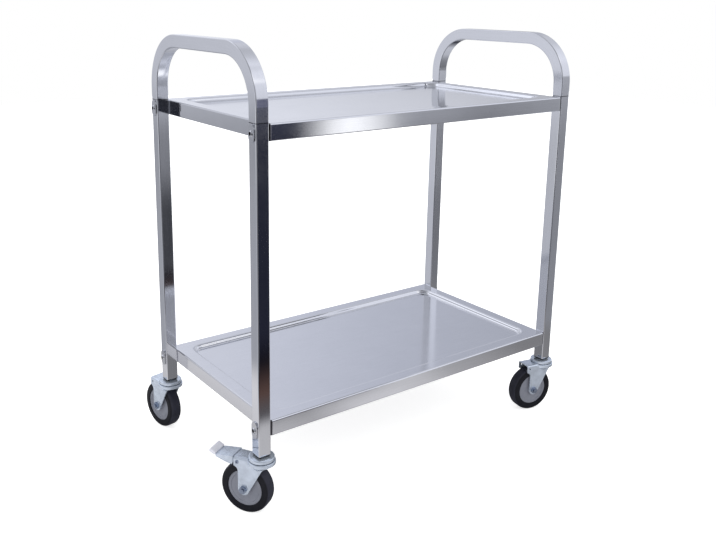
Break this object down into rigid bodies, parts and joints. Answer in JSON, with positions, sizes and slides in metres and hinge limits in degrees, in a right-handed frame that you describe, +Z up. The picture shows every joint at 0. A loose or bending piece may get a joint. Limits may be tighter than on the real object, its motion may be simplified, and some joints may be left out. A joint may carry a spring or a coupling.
{
  "type": "serving trolley",
  "caption": "Stainless serving trolley: square-tube end frames with raised handle arches, pressed shelves with shallow wells, and swivel casters, some with foot brakes.",
  "frame": {"origin": "on the floor, midway between the four legs", "axes": "+X along the shelves to the right-hand handle, +Y to the back, +Z up"},
  "size_m": [0.8467, 0.486, 0.855],
  "materials": {
    "frame_steel": "satin",
    "shelf_steel": "fine brushed",
    "bright_steel": "polished",
    "ball_steel": "polished",
    "zinc_steel": "bright zinc plated",
    "grey_plastic": "moulded satin",
    "black_plastic": "moulded",
    "tyre": "smooth rubber"
  },
  "bodies": {
    "frame_and_shelves": {"left_handle": "frame_steel", "right_handle": "frame_steel", "front_left_leg": "frame_steel", "front_right_leg": "frame_steel", "back_left_leg": "frame_steel", "back_right_leg": "frame_steel", "joining_sleeves": "zinc_steel", "upper_shelf": "shelf_steel", "lower_shelf": "shelf_steel", "upper_stiffener": "shelf_steel", "lower_stiffener": "shelf_steel", "upper_saddle_plates": "bright_steel", "lower_saddle_plates": "bright_steel", "upper_bolts": "bright_steel", "lower_bolts": "bright_steel", "upper_nuts": "zinc_steel", "lower_nuts": "zinc_steel", "leg_plugs": "black_plastic", "bearing_balls": "ball_steel", "front_left_upper_race": "zinc_steel", "front_right_upper_race": "zinc_steel", "back_left_upper_race": "zinc_steel", "back_right_upper_race": "zinc_steel"},
    "front_left_swivel": {"front_left_fork": "zinc_steel", "front_left_axle_bolt": "bright_steel", "front_left_axle_sleeve": "zinc_steel", "front_left_brake_pin": "bright_steel"},
    "front_left_wheel": {"front_left_wheel_core": "grey_plastic", "front_left_tyre": "tyre"},
    "front_left_brake": {"front_left_brake_pedal": "zinc_steel", "front_left_brake_tread": "grey_plastic"},
    "front_right_swivel": {"front_right_fork": "zinc_steel", "front_right_axle_bolt": "bright_steel", "front_right_axle_sleeve": "zinc_steel"},
    "front_right_wheel": {"front_right_wheel_core": "grey_plastic", "front_right_tyre": "tyre"},
    "back_left_swivel": {"back_left_fork": "zinc_steel", "back_left_axle_bolt": "bright_steel", "back_left_axle_sleeve": "zinc_steel"},
    "back_left_wheel": {"back_left_wheel_core": "grey_plastic", "back_left_tyre": "tyre"},
    "back_right_swivel": {"back_right_fork": "zinc_steel", "back_right_axle_bolt": "bright_steel", "back_right_axle_sleeve": "zinc_steel", "back_right_brake_pin": "bright_steel"},
    "back_right_wheel": {"back_right_wheel_core": "grey_plastic", "back_right_tyre": "tyre"},
    "back_right_brake": {"back_right_brake_pedal": "zinc_steel", "back_right_brake_tread": "grey_plastic"}
  },
  "joints": [
    {"name": "front_left_swivel_turn", "type": "hinge", "parent": "frame_and_shelves", "child": "front_left_swivel", "pos_m": [-0.3775, -0.1905, 0.11], "axis": [0, 0, 1], "continuous": true},
    {"name": "front_left_wheel_turn", "type": "hinge", "parent": "front_left_swivel", "child": "front_left_wheel", "pos_m": [-0.39244, -0.16564, 0.05], "axis": [-0.8572, -0.515, 0], "continuous": true},
    {"name": "front_left_brake_press", "type": "hinge", "parent": "front_left_swivel", "child": "front_left_brake", "pos_m": [-0.39913, -0.1545, 0.103], "axis": [-0.8572, -0.515, 0], "range_deg": [0, 12]},
    {"name": "front_right_swivel_turn", "type": "hinge", "parent": "frame_and_shelves", "child": "front_right_swivel", "pos_m": [0.3775, -0.1905, 0.11], "axis": [0, 0, 1], "continuous": true},
    {"name": "front_right_wheel_turn", "type": "hinge", "parent": "front_right_swivel", "child": "front_right_wheel", "pos_m": [0.34913, -0.18447, 0.05], "axis": [-0.2079, -0.9781, 0], "continuous": true},
    {"name": "back_left_swivel_turn", "type": "hinge", "parent": "frame_and_shelves", "child": "back_left_swivel", "pos_m": [-0.3775, 0.1905, 0.11], "axis": [0, 0, 1], "continuous": true},
    {"name": "back_left_wheel_turn", "type": "hinge", "parent": "back_left_swivel", "child": "back_left_wheel", "pos_m": [-0.38254, 0.21906, 0.05], "axis": [-0.9848, -0.1736, 0], "continuous": true},
    {"name": "back_right_swivel_turn", "type": "hinge", "parent": "frame_and_shelves", "child": "back_right_swivel", "pos_m": [0.3775, 0.1905, 0.11], "axis": [0, 0, 1], "continuous": true},
    {"name": "back_right_wheel_turn", "type": "hinge", "parent": "back_right_swivel", "child": "back_right_wheel", "pos_m": [0.35529, 0.20914, 0.05], "axis": [-0.6428, -0.766, 0], "continuous": true},
    {"name": "back_right_brake_press", "type": "hinge", "parent": "back_right_swivel", "child": "back_right_brake", "pos_m": [0.34533, 0.2175, 0.103], "axis": [-0.6428, -0.766, 0], "range_deg": [0, 12]}
  ]
}
